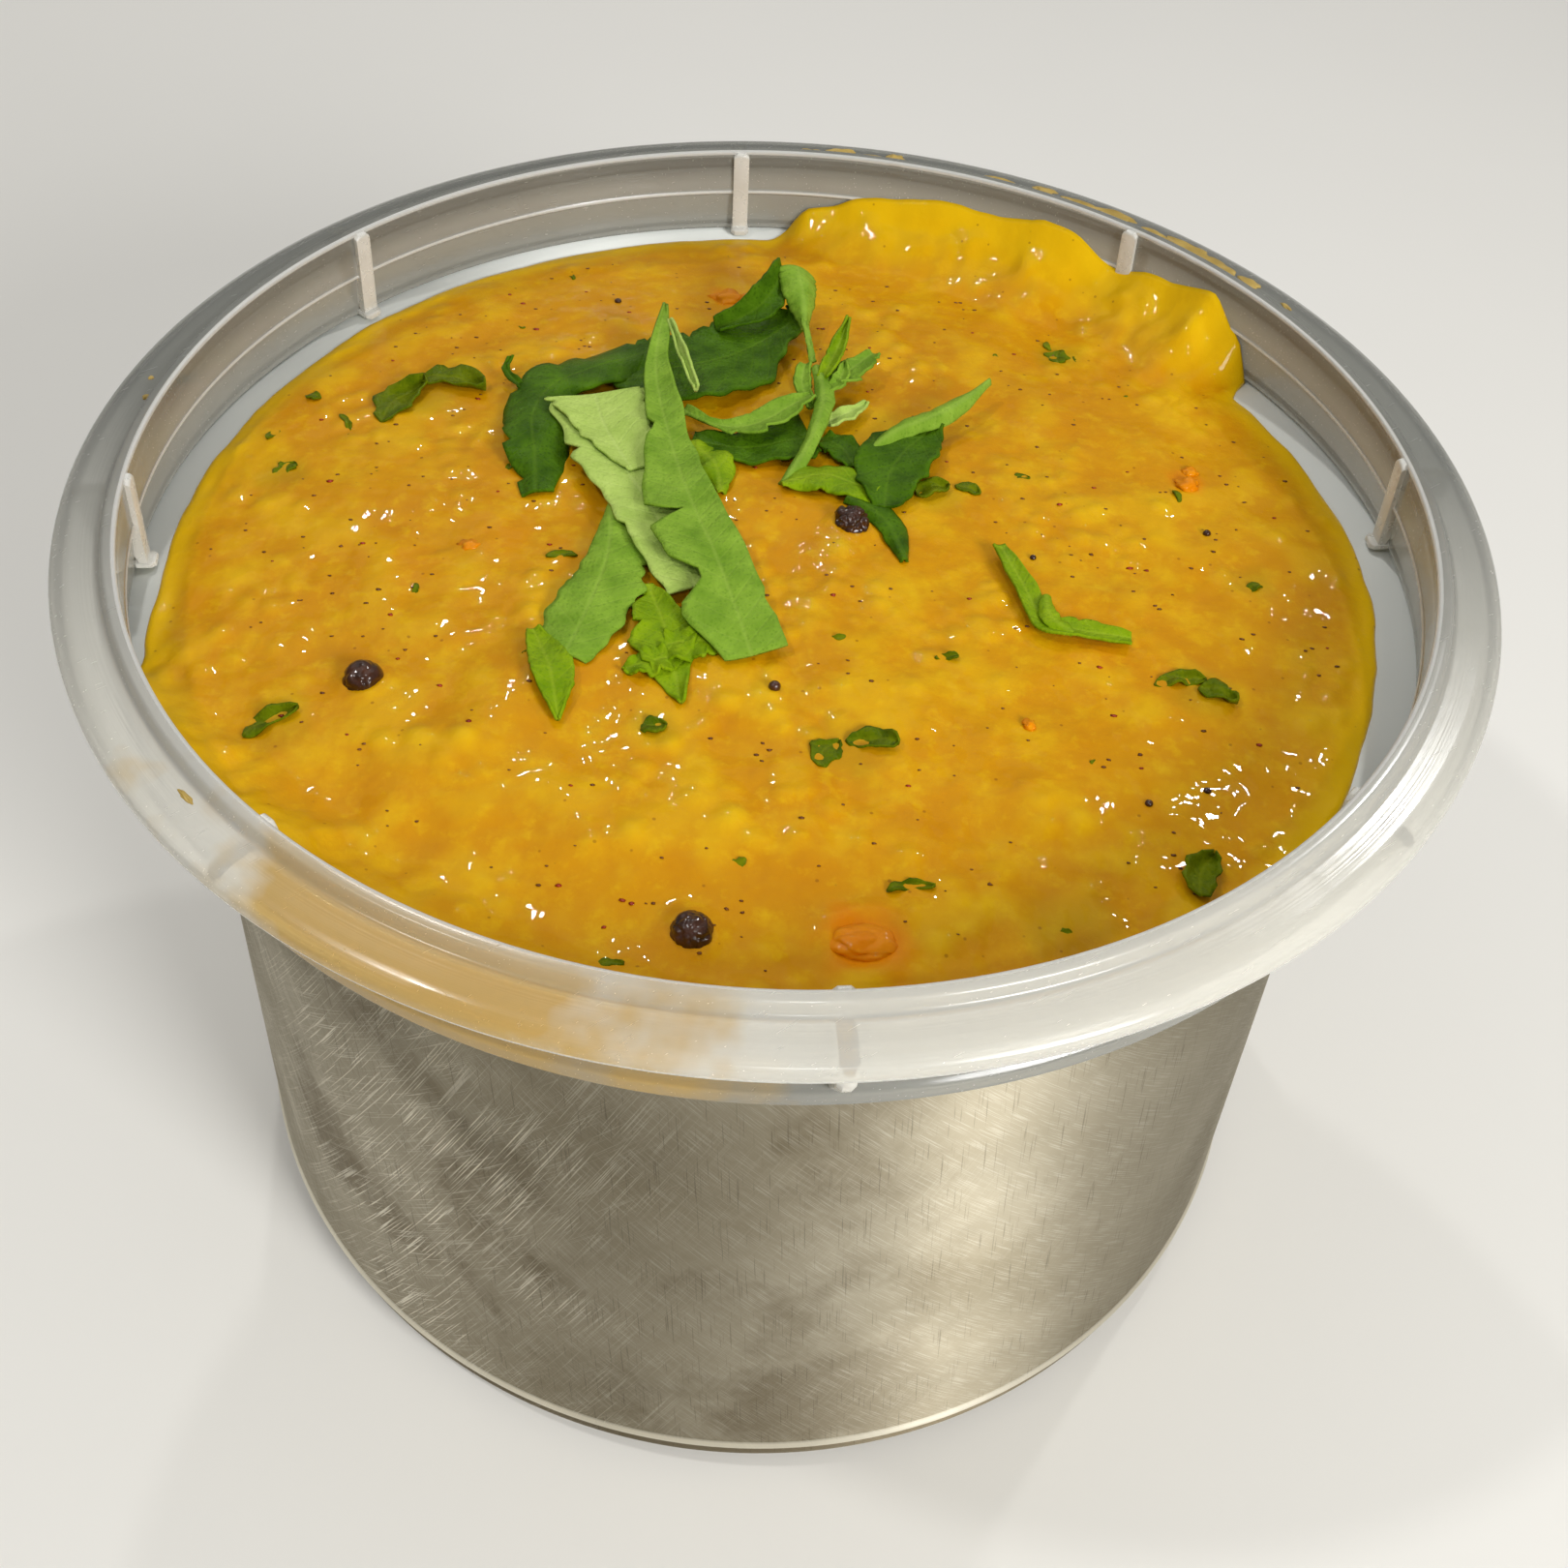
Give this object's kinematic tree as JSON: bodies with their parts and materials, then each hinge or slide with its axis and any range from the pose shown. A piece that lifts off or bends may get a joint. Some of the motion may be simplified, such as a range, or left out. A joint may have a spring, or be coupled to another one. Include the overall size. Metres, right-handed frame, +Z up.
{
  "type": "dal tadka in a bowl",
  "caption": "Thick yellow lentil dal with torn herb leaves and whole peppercorns, filling a straight-sided steel bowl with a clear ribbed rim.",
  "frame": {"origin": "middle of the bowl's flat underside", "axes": "+Z up, -Y towards the side that the main view looks at, +X to the right"},
  "size_m": [0.15, 0.15, 0.095],
  "materials": {
    "steel": "brushed, lightly scratched",
    "clear_rim": "clear to frosted, glossy",
    "dal": "wet, thick",
    "leaf_green": "satin",
    "leaf_dark": "satin, damp",
    "leaf_pale": "matt",
    "leaf_bright": "satin",
    "peppercorn": "wrinkled, damp",
    "tomato": "wet"
  },
  "bodies": {
    "root": {"steel_bowl": "steel", "rim_collar": "clear_rim", "dal": "dal", "peppercorn_back": "peppercorn", "peppercorn_front": "peppercorn", "peppercorn_left": "peppercorn", "tomato_piece": "tomato", "leaf_dark_back": "leaf_dark", "leaf_dark_left": "leaf_dark", "leaf_twisted": "leaf_green", "leaf_under": "leaf_dark", "leaf_yellow": "leaf_bright", "leaf_curved": "leaf_green", "leaf_lower_left": "leaf_green", "leaf_tip": "leaf_bright", "leaf_curly": "leaf_green", "leaf_pale": "leaf_pale", "leaf_long": "leaf_green", "leaf_stem": "leaf_green", "leaf_fork_tall": "leaf_bright", "leaf_fork_right": "leaf_green", "leaf_small": "leaf_pale", "leaf_band": "leaf_bright", "leaf_right": "leaf_dark", "leaf_right_lower": "leaf_green", "leaf_strip": "leaf_bright"}
  },
  "joints": []
}
